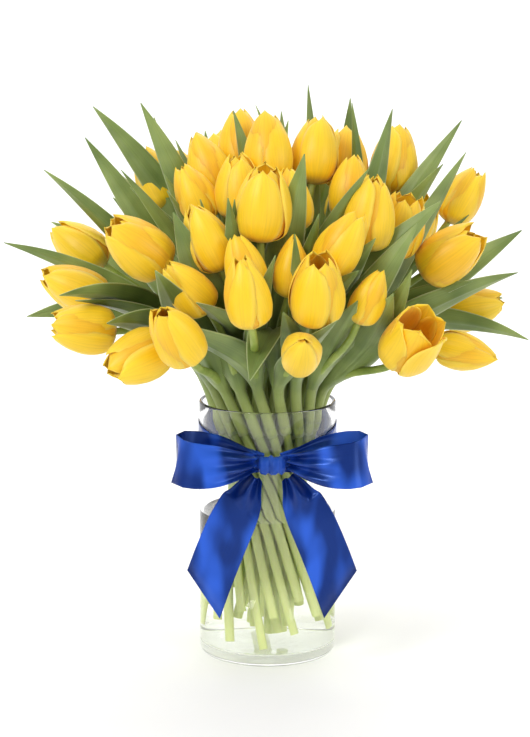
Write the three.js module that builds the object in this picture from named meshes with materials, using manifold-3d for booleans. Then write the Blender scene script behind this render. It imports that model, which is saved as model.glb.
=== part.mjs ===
// A bunch of forty-eight yellow tulips in a straight glass vase, tied with a satin ribbon bow.
// Millimetres, +Z up. The origin is the centre of the vase's underside, and the bow faces -Y.

import * as THREE from 'three';
import Module from 'manifold-3d';
import { mergeVertices } from 'three/addons/utils/BufferGeometryUtils.js';

const wasm = await Module();
wasm.setup();

// Driving dimensions

const GAP = 0.35; // kept between neighbouring pieces

const SNAP = 0.01; // corners lie on a grid this fine

const VASE = { radius: 55, height: 208, wall: 3, base: 9, heel: 6, segments: 40 };

const WATER_LEVEL = 117;

const STEM = { radius: 3.5, neck: 2.8, play: 0.9, sides: 5 }; // play is the room between two stems at the tie

const BUNCH = { waist: 130, fan: 150 }; // height of the tie point, and of the point the stems fan out from

const BLOOM = { length: 52, width: 39, bud: 0.76, sides: 6 }; // a closed bud's width over an open bloom's

// breadth scales every blade's width and fold is the depth of its gutter over its width. Leaves bow
// out to the front by that share of their length, and those with tips behind divide to the back.
const LEAF = { thickness: 1.4, breadth: 1.15, fold: 0.14, bow: 0.15, divide: 60 };

const RIBBON = { width: 37.5, thickness: 0.8, standOff: 0.35 };

const KNOT = { x: 3.5, belowRim: 40, width: 22, height: 14.5, depth: 12 };

const LOOP = { reach: 70, depth: 26 };

const TAIL = { length: 116, spread: 52 };

const RINGS = [3, 9, 15, 21]; // stems in each ring of the bundle, from the middle outwards

// One row for each tulip. The bloom sits at an azimuth, a lean from upright and a reach from the fan
// point, and looks along its own azimuth and lean. Then come its size, how far it has opened from 0
// to 1, and its leaves, each as the tip's azimuth, lean and reach, the blade's width and its arch.
const TULIPS = [
  [175, 40, 235, 170, 55, 1.0, 0.3, [[180, 36, 300, 20, 5]]],
  [-135, 35, 240, -155, 50, 1.12, 0.45, [[-145, 50, 230, 18, 0]]],
  [-165, 45, 220, -175, 65, 1.05, 0.35, [[-175, 48, 280, 16, 10]]],
  [-145, 50, 220, -160, 80, 1.0, 0.45, [[-140, 51, 260, 24, 20]]],
  [-125, 55, 205, -145, 105, 1.0, 0.55, [[-130, 52, 235, 30, 15], [-127, 56, 185, 22, 25]]],
  [-115, 50, 220, -130, 40, 1.05, 0.3, [[-117, 44, 260, 33, 10]]],
  [-115, 40, 220, -160, 40, 0.95, 0.25, [[-120, 32, 265, 32, 15]]],
  [170, 25, 225, 160, 30, 0.9, 0.3, [[-175, 28, 305, 22, 0]]],
  [175, 20, 250, 150, 30, 1.0, 0.3, [[165, 29, 280, 18, 25]]],
  [-135, 20, 245, 170, 25, 0.95, 0.2, [[-152, 27, 280, 14, 0], [-142, 22, 265, 18, 20]]],
  [-110, 30, 235, -170, 25, 1.05, 0.2, [[-118, 25, 255, 18, 0], [-99, 27, 260, 16, 0]]],
  [160, 17, 245, 115, 20, 0.9, 0.4, [[-170, 25, 325, 28, 5]]],
  [-140, 15, 255, 155, 25, 1.05, 0.3, [[-163, 19, 315, 26, 0], [-134, 25, 260, 18, 0]]],
  [145, 12, 250, 110, 20, 0.9, 0.45, [[168, 19, 290, 16, 0]]],
  [-155, 5, 265, 105, 15, 1.05, 0.35, [[165, 16, 275, 14, -10]]],
  [-100, 17, 250, 125, 5, 1.0, 0.4, [[-159, 26, 260, 16, 0]]],
  [-90, 26, 245, -65, 5, 1.12, 0.5, [[-76, 23, 290, 30, -5]]],
  [-85, 30, 220, 10, 5, 0.9, 0.15, [[-72, 29, 255, 18, 0], [-64, 40, 240, 24, 0]]],
  [-95, 42, 230, -130, 12, 1.05, 0.2, [[-88, 39, 255, 17, 0], [-118, 50, 225, 30, 0]]],
  [-100, 33, 223, -175, 16, 0.9, 0.2, [[-103, 29, 270, 22, 0], [-108, 46, 235, 28, 0]]],
  [-77, 41, 226, -75, 15, 1.08, 0.5, [[-82, 34, 255, 16, 0], [-86, 46, 225, 20, 0]]],
  [-80, 51, 208, -85, 60, 1.0, 0.1, [[-95, 56, 185, 32, 70], [-73, 49, 230, 22, -5]]],
  [-58, 43, 219, -12, 24, 0.85, 0.05, [[-66, 45, 230, 22, 0], [-44, 36, 265, 26, 10]]],
  [-50, 52, 210, -65, 48, 1.1, 0.95, [[-56, 45, 235, 28, 0], [-49, 42, 245, 20, 0]]],
  [-25, 57, 201, -18, 100, 0.95, 0.1, [[-12, 50, 260, 24, 10]]],
  [5, 52, 210, -8, 76, 1.0, 0.4, [[0, 46, 280, 26, 5], [-6, 62, 235, 20, 20]]],
  [-20, 38, 236, -17, 51, 1.08, 0.5, [[-21, 46, 235, 20, 10], [7, 32, 300, 18, 0]]],
  [10, 31, 240, 0, 24, 1.0, 0.65, [[7, 29, 320, 20, 0]]],
  [10, 34, 264, 18, 32, 0.95, 0.3, [[-8, 29, 285, 22, 30], [7, 37, 260, 12, 0]]],
  [-45, 27, 245, 7, 8, 1.12, 0.3, [[-17, 19, 310, 24, 5]]],
  [-25, 30, 234, -16, 16, 1.0, 0.6, [[-17, 13, 305, 15, 0]]],
  [15, 24, 259, 54, 14, 1.05, 0.5, [[17, 13, 305, 20, 5]]],
  [-65, 33, 238, -11, 28, 1.0, 0.25, [[-56, 35, 250, 26, 5], [-31, 34, 275, 26, 0]]],
  [-10, 13, 259, 76, 16, 0.95, 0.4, [[99, 12, 295, 12, 0]]],
  [-37, 15, 248, 56, 7, 0.95, 0.3, [[-74, 6, 275, 12, 0]]],
  [-70, 10, 260, 98, 14, 1.05, 0.45, [[-130, 8, 295, 24, 0]]],
  [-50, 11, 261, 65, 12, 1.05, 0.4, [[-45, 3, 290, 18, 40]]],
  [-80, 18, 241, 130, 8, 0.95, 0.25, [[-50, 25, 280, 18, 0]]],
  [20, 19, 254, 62, 21, 0.9, 0.4, [[32, 7, 310, 14, 0]]],
  [35, 55, 220, 30, 70, 1.0, 0.3, [[25, 60, 250, 24, 10], [45, 45, 270, 26, 5]]],
  [65, 57, 210, 70, 85, 1.05, 0.4, [[65, 62, 240, 28, 15]]],
  [90, 48, 220, 85, 55, 1.0, 0.3, [[85, 58, 235, 24, 5], [100, 45, 270, 28, 5]]],
  [118, 57, 210, 120, 80, 1.1, 0.45, [[122, 64, 245, 26, 15]]],
  [147, 53, 215, 150, 65, 0.95, 0.2, [[150, 48, 280, 24, 5], [160, 62, 240, 24, 15]]],
  [55, 30, 240, 50, 35, 1.0, 0.35, [[60, 25, 290, 24, 0]]],
  [85, 27, 245, 95, 25, 1.05, 0.3, [[80, 20, 290, 22, 0], [90, 40, 265, 20, 5]]],
  [112, 33, 238, 115, 40, 0.95, 0.5, [[115, 25, 290, 24, 0], [110, 50, 255, 24, 5]]],
  [140, 30, 240, 140, 30, 1.0, 0.25, [[145, 22, 300, 20, 0], [135, 42, 275, 22, 5]]],
];

const COLOUR = {
  glass: 0xeaf4f2,
  water: 0xdcebe4,
  ribbon: 0x1237a8,
  tulip: 0xffd21f,
};

// Vectors and directions

const V = (x, y, z) => new THREE.Vector3(x, y, z);

const rad = THREE.MathUtils.degToRad;

function direction(azimuth, lean) {
  return V(0, 0, 1).applyAxisAngle(V(0, 1, 0), rad(lean)).applyAxisAngle(V(0, 0, 1), rad(azimuth));
}

function polar(radius, angle, z) {
  return V(radius * Math.cos(angle), radius * Math.sin(angle), z);
}

function across(vector, axis) {
  return vector.clone().addScaledVector(axis, -vector.dot(axis)).normalize();
}

// Solids

// A closed skin over sections with the same number of points. A last section of one point is a tip.
function loft(sections) {
  const position = [];
  const index = [];
  const n = sections[0].length;
  for (const section of sections) {
    for (const point of section) position.push(point.x, point.y, point.z);
  }
  for (let k = 0; k + 1 < sections.length; k += 1) {
    const a = k * n;
    const b = a + n;
    for (let i = 0; i < n; i += 1) {
      const j = (i + 1) % n;
      if (sections[k + 1].length === 1) index.push(a + i, a + j, b);
      else index.push(a + i, a + j, b + j, a + i, b + j, b + i);
    }
  }
  const last = sections.length - 1;
  for (let i = 1; i + 1 < n; i += 1) {
    index.push(0, i + 1, i);
    if (sections[last].length > 1) index.push(last * n, last * n + i, last * n + i + 1);
  }
  const geometry = new THREE.BufferGeometry();
  geometry.setAttribute('position', new THREE.Float32BufferAttribute(position, 3));
  geometry.setIndex(index);
  return geometry;
}

function manifold(geometry, flip) {
  const merged = mergeVertices(geometry, 1e-3);
  const kept = [];
  for (let i = 0; i < merged.index.count; i += 3) {
    const [a, b, c] = merged.index.array.slice(i, i + 3);
    if (a !== b && b !== c && c !== a) kept.push(a, b, c);
  }
  const triVerts = new Uint32Array(flip ? kept.reverse() : kept);
  const mesh = new wasm.Mesh({
    numProp: 3,
    vertProperties: new Float32Array(merged.attributes.position.array),
    triVerts,
  });
  return new wasm.Manifold(mesh);
}

function solid(geometry) {
  const bare = geometry.clone();
  bare.deleteAttribute('normal');
  bare.deleteAttribute('uv');
  const made = manifold(bare, false);
  return made.volume() < 0 ? manifold(bare, true) : made;
}

// Each step below frees the solids it uses up.

function largest(made) {
  const pieces = made.decompose();
  pieces.sort((a, b) => b.volume() - a.volume());
  made.delete();
  const kept = pieces[0].asOriginal();
  for (const piece of pieces) piece.delete();
  return kept;
}

function join(a, b) {
  const sum = a.add(b);
  const made = sum.asOriginal();
  for (const used of [a, b, sum]) used.delete();
  return made;
}

function meets(a, b) {
  const p = a.boundingBox();
  const q = b.boundingBox();
  return [0, 1, 2].every((i) => p.min[i] < q.max[i] && q.min[i] < p.max[i]);
}

function trim(made, others) {
  let left = made;
  for (const other of others) {
    if (meets(left, other)) {
      const cut = left.subtract(other);
      left.delete();
      left = cut.asOriginal();
      cut.delete();
    }
  }
  return left;
}

function geometryOf(made) {
  const { vertProperties, triVerts } = made.getMesh();
  const snapped = vertProperties.map((value) => Math.round(value / SNAP) * SNAP);
  const geometry = new THREE.BufferGeometry();
  geometry.setAttribute('position', new THREE.BufferAttribute(snapped, 3));
  geometry.setIndex(new THREE.BufferAttribute(triVerts, 1));
  return geometry;
}

function toMesh(name, made, material) {
  const geometry = geometryOf(made).toNonIndexed();
  geometry.computeVertexNormals();
  const mesh = new THREE.Mesh(geometry, material);
  mesh.name = name;
  return mesh;
}

// The bundle of stems. Each ring of straight stems is a hyperboloid, narrowest at the tie.

const GATE = VASE.height + 6; // the stems clear the rim here and start to bend

const INNER = VASE.radius - VASE.wall;

const ringRadius = {
  waist: (k) => (2 * STEM.radius + STEM.play) * (k + 0.577),
  gate: (k) => ((INNER - STEM.radius - 2) * (k + 0.65)) / (RINGS.length - 0.35),
  foot: (k) => ((INNER - STEM.radius - 1.5) * (k + 0.9)) / (RINGS.length - 0.1),
};

// Neighbouring rings wind opposite ways, so that the stems cross.
const winding = (k) => (k % 2 === 0 ? 1 : -1);

function ringPoint(k, waistAngle, z) {
  const waist = ringRadius.waist(k);
  const above = z > BUNCH.waist;
  const end = above ? ringRadius.gate(k) : ringRadius.foot(k);
  const reach = Math.sqrt(end * end - waist * waist);
  const share = above ? (z - BUNCH.waist) / (GATE - BUNCH.waist) : (z - BUNCH.waist) / (BUNCH.waist - VASE.base);
  const t = reach * share;
  return polar(Math.hypot(waist, t), waistAngle + winding(k) * Math.atan2(t, waist), z);
}

// The tulips that lean the most take the outer ring, and each ring is turned to suit its blooms.
function fillRings(tulips) {
  const order = [...tulips].sort((a, b) => b.lean - a.lean || a.index - b.index);
  for (let k = RINGS.length - 1; k >= 0; k -= 1) {
    const ring = order.splice(0, RINGS[k]).sort((a, b) => a.azimuth - b.azimuth || a.index - b.index);
    const step = (2 * Math.PI) / RINGS[k];
    const lag = Math.acos(ringRadius.waist(k) / ringRadius.gate(k));
    let x = 0;
    let y = 0;
    ring.forEach((tulip, slot) => {
      x += Math.cos(rad(tulip.azimuth) - slot * step);
      y += Math.sin(rad(tulip.azimuth) - slot * step);
    });
    const turn = Math.atan2(y, x);
    ring.forEach((tulip, slot) => {
      tulip.ring = k;
      tulip.slot = slot;
      tulip.waistAngle = turn + slot * step - winding(k) * lag;
    });
  }
}

// Feet end at different heights, the middle ones higher, as cut stems settle.
function footHeight(tulip) {
  const lift = [6, 12, 14, 5][tulip.ring];
  const spread = [10, 45, 50, 34][tulip.ring];
  return VASE.base + lift + (spread * ((tulip.slot * 7) % 11)) / 10;
}

// Half a bloom's width, slimmer while it is closed.
function girth(tulip) {
  return (BLOOM.width / 2) * tulip.size * THREE.MathUtils.lerp(BLOOM.bud, 1, Math.min(1, 2 * tulip.open));
}

// Every stem, bloom and leaf is a chain of beads, settled so that the beads don't run into each other.

const BEAD = { step: 8, leaf: 10, rounds: 90 };

function hermite(p, q, pDirection, qDirection, t) {
  const length = p.distanceTo(q);
  const a = 2 * t ** 3 - 3 * t ** 2 + 1;
  const b = t ** 3 - 2 * t ** 2 + t;
  const c = -2 * t ** 3 + 3 * t ** 2;
  const d = t ** 3 - t ** 2;
  return V(0, 0, 0)
    .addScaledVector(p, a)
    .addScaledVector(pDirection, b * length * 0.9)
    .addScaledVector(q, c)
    .addScaledVector(qDirection, d * length * 0.7);
}

function coreChain(tulip) {
  const start = ringPoint(tulip.ring, tulip.waistAngle, GATE);
  const before = ringPoint(tulip.ring, tulip.waistAngle, GATE - 10);
  const rise = start.clone().sub(before).normalize();
  const count = Math.max(5, Math.round(start.distanceTo(tulip.base) / BEAD.step));
  const chain = [];
  for (let i = 0; i <= count; i += 1) {
    const at = hermite(start, tulip.base, rise, tulip.axis, i / count);
    chain.push({ at, radius: STEM.radius + 0.3, free: Math.min(1, i / 4), bloom: false });
  }
  const length = BLOOM.length * tulip.size;
  for (const [along, share] of [[0.22, 0.9], [0.5, 1], [0.8, 0.75]]) {
    const at = tulip.base.clone().addScaledVector(tulip.axis, length * along);
    chain.push({ at, radius: girth(tulip) * share + 0.3, free: 1, bloom: true });
  }
  return { chain, tulip: tulip.index, leaf: false };
}

const leafSide = (tip) => (tip.y < LEAF.divide ? -1 : 1);

function leafChain(tulip, core, leaf, i) {
  const [azimuth, lean, reach, , arch] = leaf;
  const rooted = 2 + i; // the second leaf grows from a little higher up the stem
  const root = core.chain[rooted].at;
  const up = core.chain[rooted + 1].at.clone().sub(root).normalize();
  const tip = direction(azimuth, lean).multiplyScalar(reach).add(V(0, 0, BUNCH.fan));
  const bend = root.clone().addScaledVector(up, root.distanceTo(tip) * 0.42);
  bend.y += leafSide(tip) * root.distanceTo(tip) * LEAF.bow;
  bend.z += arch;
  const curve = new THREE.QuadraticBezierCurve3(root, bend, tip);
  const chain = [];
  for (let i = 0; i <= BEAD.leaf; i += 1) {
    chain.push({ at: curve.getPoint(i / BEAD.leaf), radius: 2, free: Math.min(1, i / 3), bloom: false });
  }
  return { chain, tulip: tulip.index, leaf: true, rooted };
}

function settle(chains) {
  const beads = [];
  chains.forEach((owner, c) => {
    owner.chain.forEach((bead) => {
      bead.rest = bead.at.clone();
      bead.owner = c;
      bead.move = V(0, 0, 0);
      beads.push(bead);
    });
  });
  const away = V(0, 0, 0);
  for (let round = 0; round < BEAD.rounds; round += 1) {
    for (const bead of beads) bead.move.set(0, 0, 0);
    for (let i = 0; i < beads.length; i += 1) {
      const p = beads[i];
      for (let j = i + 1; j < beads.length; j += 1) {
        const q = beads[j];
        const need = p.radius + q.radius;
        if (Math.abs(p.at.z - q.at.z) >= need || Math.abs(p.at.x - q.at.x) >= need) continue;
        if (p.owner === q.owner) continue;
        if (chains[p.owner].tulip === chains[q.owner].tulip && !p.bloom && !q.bloom) continue;
        away.subVectors(p.at, q.at);
        const gap = away.length();
        if (gap >= need) continue;
        away.multiplyScalar((0.5 * (need - gap)) / Math.max(gap, 0.5));
        p.move.add(away);
        q.move.sub(away);
      }
    }
    for (const bead of beads) bead.at.addScaledVector(bead.move, 0.45 * bead.free);
    for (const owner of chains) {
      const shift = owner.chain.map((bead) => bead.at.clone().sub(bead.rest));
      for (let i = 1; i + 1 < shift.length; i += 1) {
        const mean = shift[i - 1].clone().add(shift[i + 1]).multiplyScalar(0.5);
        owner.chain[i].at.addScaledVector(mean.sub(shift[i]), 0.35 * owner.chain[i].free);
      }
      const head = owner.chain.filter((bead) => bead.bloom);
      if (head.length > 0) {
        const mean = V(0, 0, 0);
        for (const bead of head) mean.add(bead.at).sub(bead.rest);
        mean.divideScalar(head.length);
        for (const bead of owner.chain.slice(-head.length - 1)) bead.at.copy(bead.rest).add(mean);
      }
    }
    for (const bead of beads) {
      const lowest = VASE.height + bead.radius + 2;
      if (Math.hypot(bead.at.x, bead.at.y) > INNER - bead.radius && bead.at.z < lowest) bead.at.z = lowest;
    }
  }
}

// The shapes of one tulip

// Sections turned as little as possible from one to the next.
function ringsAlong(points, radii, sides) {
  let side = V(1, 0, 0);
  return points.map((point, k) => {
    const before = points[Math.max(0, k - 1)];
    const after = points[Math.min(points.length - 1, k + 1)];
    const along = after.clone().sub(before).normalize();
    side = across(side, along);
    const other = along.clone().cross(side);
    const section = [];
    for (let i = 0; i < sides; i += 1) {
      const angle = (2 * Math.PI * i) / sides;
      const spoke = side.clone().multiplyScalar(Math.cos(angle)).addScaledVector(other, Math.sin(angle));
      section.push(point.clone().addScaledVector(spoke, radii[k]));
    }
    return section;
  });
}

function stemSolid(tulip, core, grow) {
  const foot = footHeight(tulip) - (grow > 0 ? GAP : 0);
  const points = [
    ringPoint(tulip.ring, tulip.waistAngle, foot),
    ringPoint(tulip.ring, tulip.waistAngle, BUNCH.waist),
  ];
  const stem = core.chain.filter((bead) => !bead.bloom);
  const pick = [0, 0.2, 0.4, 0.6, 0.8, 1];
  for (const share of pick) points.push(stem[Math.round(share * (stem.length - 1))].at);
  points.push(core.chain[stem.length].at);
  const radii = points.map((point, k) => THREE.MathUtils.lerp(STEM.radius, STEM.neck, k / points.length) + grow);
  return solid(loft(ringsAlong(points, radii, STEM.sides)));
}

// A closed bloom is an egg that draws in to its tips; an open one is a hollow cup.
function bloomProfile(tulip, grow) {
  const long = BLOOM.length * tulip.size;
  const wide = girth(tulip);
  const tip = 0.1 + 0.4 * tulip.open;
  const wall = 2;
  const profile = [
    [0, -grow],
    [wide * 0.3 + grow, -grow],
    [wide * 0.92 + grow, long * 0.2],
    [wide + grow, long * 0.42],
  ];
  if (tulip.open > 0.9) {
    profile.push([wide * 0.98 + grow, long * 0.8 + grow]);
    if (grow > 0) profile.push([0, long * 0.8 + grow]);
    else profile.push([wide * 0.98 - wall, long * 0.8], [wide - wall - 1, long * 0.42], [0, long * 0.2]);
  } else {
    profile.push([wide * (0.78 + 0.15 * tulip.open) + grow, long * 0.75], [wide * tip + grow, long + grow]);
    profile.push([0, long + grow]);
  }
  return profile.map(([radius, height]) => new THREE.Vector2(radius, height));
}

function bloomSolid(tulip, core, grow) {
  const geometry = new THREE.LatheGeometry(bloomProfile(tulip, grow), BLOOM.sides);
  const stem = core.chain.filter((bead) => !bead.bloom);
  const base = stem[stem.length - 1].at;
  geometry.applyQuaternion(new THREE.Quaternion().setFromUnitVectors(V(0, 1, 0), tulip.axis));
  geometry.translate(base.x, base.y, base.z);
  return solid(geometry);
}

const BLADE = { share: [0, 0.2, 0.4, 0.6, 0.8, 1], width: [0.3, 0.84, 1, 0.9, 0.58, 0] };

// A leaf blade is a shallow gutter, widest before its middle and pointed at its end. It opens
// towards the middle of the bunch, and shows its back to whoever stands in front of it or behind it.
function leafSolid(leaf, grow) {
  const width = leaf.width * LEAF.breadth;
  let facing = V(0, -leafSide(leaf.chain[BEAD.leaf].at), 0);
  const sections = BLADE.share.map((share, k) => {
    const i = Math.round(share * BEAD.leaf);
    const point = leaf.chain[i].at;
    const before = leaf.chain[Math.max(0, i - 1)].at;
    const after = leaf.chain[Math.min(BEAD.leaf, i + 1)].at;
    const along = after.clone().sub(before).normalize();
    if (k === BLADE.share.length - 1) return [point.clone().addScaledVector(along, 2 * grow)];
    facing = across(facing, along);
    const inner = facing.clone().applyAxisAngle(along, leaf.twist * share);
    const side = along.clone().cross(inner);
    const half = (width * BLADE.width[k]) / 2 + 3 * grow;
    const thick = (LEAF.thickness * (k === 0 ? 2 : 1)) / 2 + grow;
    const lift = 2 * half * LEAF.fold;
    return [
      point.clone().addScaledVector(side, half).addScaledVector(inner, lift),
      point.clone().addScaledVector(inner, thick),
      point.clone().addScaledVector(side, -half).addScaledVector(inner, lift),
      point.clone().addScaledVector(inner, -thick),
    ];
  });
  return solid(loft(sections));
}

// The vase, its water and the ribbon

function vaseProfile() {
  const { radius, height, wall, base, heel } = VASE;
  const profile = [[0, 0], [radius - heel, 0]];
  for (const angle of [30, 60, 90]) {
    profile.push([radius - heel + heel * Math.sin(rad(angle)), heel - heel * Math.cos(rad(angle))]);
  }
  for (const angle of [0, 45, 90, 135, 180]) {
    const bead = wall / 2;
    profile.push([radius - bead + bead * Math.cos(rad(angle)), height - bead + bead * Math.sin(rad(angle))]);
  }
  profile.push([INNER, base + 3], [INNER - 3, base], [0, base]);
  return profile.map(([x, z]) => new THREE.Vector2(x, z));
}

function upright(profile, segments) {
  return solid(new THREE.LatheGeometry(profile, segments).rotateX(Math.PI / 2));
}

function waterSolid(stems) {
  const side = INNER * Math.cos(Math.PI / VASE.segments) - GAP;
  const floor = VASE.base + GAP;
  const profile = [[0, floor], [side - 3, floor], [side, floor + 3], [side, WATER_LEVEL], [0, WATER_LEVEL]];
  return largest(trim(upright(profile.map(([x, z]) => new THREE.Vector2(x, z)), VASE.segments), stems));
}

// A ribbon is a strip: each station has a centre, half the strip's width as a vector, and its face.
function strip(stations) {
  const half = RIBBON.thickness / 2;
  const sections = stations.map(({ centre, edge, face }) => [
    centre.clone().sub(edge).addScaledVector(face, half),
    centre.clone().add(edge).addScaledVector(face, half),
    centre.clone().add(edge).addScaledVector(face, -half),
    centre.clone().sub(edge).addScaledVector(face, -half),
  ]);
  return solid(loft(sections));
}

const CLASP = VASE.radius + RIBBON.standOff + RIBBON.thickness; // outside of the band

const KNOT_Y = -(CLASP + RIBBON.standOff + KNOT.depth / 2);

const KNOT_Z = VASE.height - KNOT.belowRim;

function bandSolid() {
  const radius = VASE.radius + RIBBON.standOff + RIBBON.thickness / 2;
  const ends = 0.5 * (KNOT.width / radius) * 0.55;
  const stations = [];
  const count = 36;
  for (let i = 0; i <= count; i += 1) {
    const turn = ends + (2 * Math.PI - 2 * ends) * (i / count);
    const away = Math.sin(turn / 2) ** 0.7;
    const half = THREE.MathUtils.lerp(KNOT.height * 0.35, RIBBON.width / 2, Math.min(1, away * 1.25));
    const face = polar(1, turn - Math.PI / 2 + KNOT.x / radius, 0);
    stations.push({
      centre: face.clone().multiplyScalar(radius).setZ(KNOT_Z + 6 * away),
      edge: V(0, 0, half),
      face,
    });
  }
  return strip(stations);
}

function knotSolid() {
  const points = [];
  for (const x of [-1, -0.8, -0.3, 0.3, 0.8, 1]) points.push([x, 1 - 0.22 * Math.abs(x) ** 6]);
  const sections = points.map(([x, swell]) => {
    const section = [];
    for (let i = 0; i < 12; i += 1) {
      const angle = (2 * Math.PI * i) / 12;
      const y = KNOT_Y + (KNOT.depth / 2) * swell * Math.cos(angle);
      section.push(V(KNOT.x + (x * KNOT.width) / 2, y, KNOT_Z + (KNOT.height / 2) * swell * Math.sin(angle)));
    }
    return section;
  });
  return solid(loft(sections));
}

// The loop's outline from above, as shares of its reach and depth, with the strip's height at each.
const LOOP_PATH = [
  [0.17, 0.12, 0.36],
  [0.34, 0.62, 0.62],
  [0.55, 0.92, 0.88],
  [0.76, 1.0, 0.98],
  [0.92, 0.86, 1.0],
  [1.0, 0.5, 1.0],
  [0.95, 0.14, 1.0],
  [0.78, -0.04, 0.98],
  [0.55, -0.08, 0.88],
  [0.34, -0.1, 0.6],
  [0.17, -0.12, 0.34],
];

function loopSolid(side) {
  const outline = LOOP_PATH.map(([out, front, tall]) => ({
    centre: V(KNOT.x + side * out * (LOOP.reach + 5), KNOT_Y + 2 - front * LOOP.depth, KNOT_Z + 3 * out * front),
    half: (tall * RIBBON.width) / 2,
  }));
  const stations = outline.map(({ centre, half }, k) => {
    const before = outline[Math.max(0, k - 1)].centre;
    const after = outline[Math.min(outline.length - 1, k + 1)].centre;
    const along = after.clone().sub(before).normalize();
    const edge = across(V(-side * 0.12, 0.22, 1), along).multiplyScalar(half);
    return { centre, edge, face: along.clone().cross(edge).normalize() };
  });
  return strip(stations);
}

// The tail's line downwards: share of its length, of its spread sideways, width and swell forwards.
const TAIL_PATH = [
  [0.0, 0.2, 0.28, 0],
  [0.1, 0.31, 0.58, 2],
  [0.25, 0.44, 0.9, 4],
  [0.5, 0.66, 1, 6],
  [0.75, 0.84, 1, 4],
  [1, 1, 1, 1],
];

function tailSolid(side) {
  const drop = Math.sqrt(TAIL.length ** 2 - TAIL.spread ** 2);
  const top = KNOT_Z - KNOT.height / 2 - RIBBON.standOff - 2;
  const line = TAIL_PATH.map(([down, out, wide, swell]) => ({
    centre: V(KNOT.x + side * (2 + out * TAIL.spread), KNOT_Y - swell, top - down * drop),
    half: (wide * RIBBON.width) / 2,
  }));
  const stations = line.map(({ centre, half }, k) => {
    const before = line[Math.max(0, k - 1)].centre;
    const after = line[Math.min(line.length - 1, k + 1)].centre;
    const along = after.clone().sub(before).normalize();
    const cut = k === line.length - 1 ? 0.62 : 0; // the end is cut on a slant, its inner corner lower
    const edge = across(V(side, 0, 0), along).addScaledVector(along, -cut).multiplyScalar(half);
    return { centre, edge, face: V(0, -1, 0) };
  });
  return strip(stations);
}

// Assembly

const tulips = TULIPS.map(([azimuth, lean, reach, faceAzimuth, faceLean, size, open, leaves], index) => {
  const axis = direction(faceAzimuth, faceLean);
  const middle = direction(azimuth, lean).multiplyScalar(reach).add(V(0, 0, BUNCH.fan));
  const base = middle.addScaledVector(axis, -0.5 * BLOOM.length * size);
  return { index, azimuth, lean, axis, base, size, open, leaves };
});
fillRings(tulips);

const cores = tulips.map(coreChain);
const blades = [];
tulips.forEach((tulip, t) => {
  tulip.leaves.forEach((leaf, i) => {
    const blade = leafChain(tulip, cores[t], leaf, i);
    blade.width = leaf[3];
    blade.twist = rad((((t + 3 * i) % 5) - 2) * 14);
    blades.push(blade);
  });
});
settle([...cores, ...blades]);
for (const blade of blades) blade.chain[0].at = cores[blade.tulip].chain[blade.rooted].at;

const vase = upright(vaseProfile(), VASE.segments);
const band = bandSolid();
const knot = knotSolid();
const grownStems = tulips.map((tulip, t) => stemSolid(tulip, cores[t], GAP));
const grownCores = tulips.map((tulip, t) => {
  return join(stemSolid(tulip, cores[t], GAP), bloomSolid(tulip, cores[t], GAP));
});

// Each tulip gives way to the stems and blooms before it, and its leaves to every other tulip.
const laid = [];
const plants = tulips.map((tulip, t) => {
  let plant = join(stemSolid(tulip, cores[t], 0), bloomSolid(tulip, cores[t], 0));
  const own = blades.filter((blade) => blade.tulip === t);
  if (own.length > 0) {
    const leaves = own.map((blade) => leafSolid(blade, 0)).reduce(join);
    plant = join(plant, trim(leaves, [...grownCores.slice(t + 1), ...laid]));
    laid.push(...own.map((blade) => leafSolid(blade, GAP)));
  }
  return largest(trim(plant, grownCores.slice(0, t)));
});

// True where no two edges of the skin lie on each other.
function edgesAreSingle(made) {
  const { index, attributes } = mergeVertices(geometryOf(made), 1e-3);
  const seen = new Map();
  for (let i = 0; i < index.count; i += 3) {
    for (const [m, n] of [[0, 1], [1, 2], [2, 0]]) {
      const a = index.array[i + m];
      const b = index.array[i + n];
      const key = Math.min(a, b) * attributes.position.count + Math.max(a, b);
      seen.set(key, (seen.get(key) || 0) + 1);
    }
  }
  return [...seen.values()].every((faces) => faces === 2);
}

const CLEAR = 0.005; // cubic millimetres that two pieces may share after their corners are snapped

function standsClear(made, others) {
  return others.every((other) => {
    if (!meets(made, other)) return true;
    const shared = made.intersect(other);
    const volume = shared.volume();
    shared.delete();
    return volume < CLEAR;
  });
}

// Facets smaller than the gaps are merged, and whatever still touches is cut a last time.
const rounded = (made) => largest(solid(geometryOf(made)));
plants.forEach((plant, t) => {
  for (const tolerance of [0.25, 0.15, 0.1, 0.06, 0.03, 0.01, 0.4, 0.6, 0.2, 0.08, 0.02, 0.9]) {
    const plainer = rounded(plant.simplify(tolerance));
    plants[t] = rounded(trim(plainer, plants.slice(0, t)));
    if (edgesAreSingle(plants[t]) && standsClear(plants[t], plants.slice(0, t))) break;
  }
});

const finish = {
  glass: new THREE.MeshStandardMaterial({
    color: COLOUR.glass, roughness: 0.04, metalness: 0, transparent: true, opacity: 0.3,
  }),
  water: new THREE.MeshStandardMaterial({
    color: COLOUR.water, roughness: 0.03, metalness: 0, transparent: true, opacity: 0.3,
  }),
  ribbon: new THREE.MeshStandardMaterial({ color: COLOUR.ribbon, roughness: 0.35, metalness: 0 }),
  tulip: new THREE.MeshStandardMaterial({ color: COLOUR.tulip, roughness: 0.6, metalness: 0 }),
};

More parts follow.
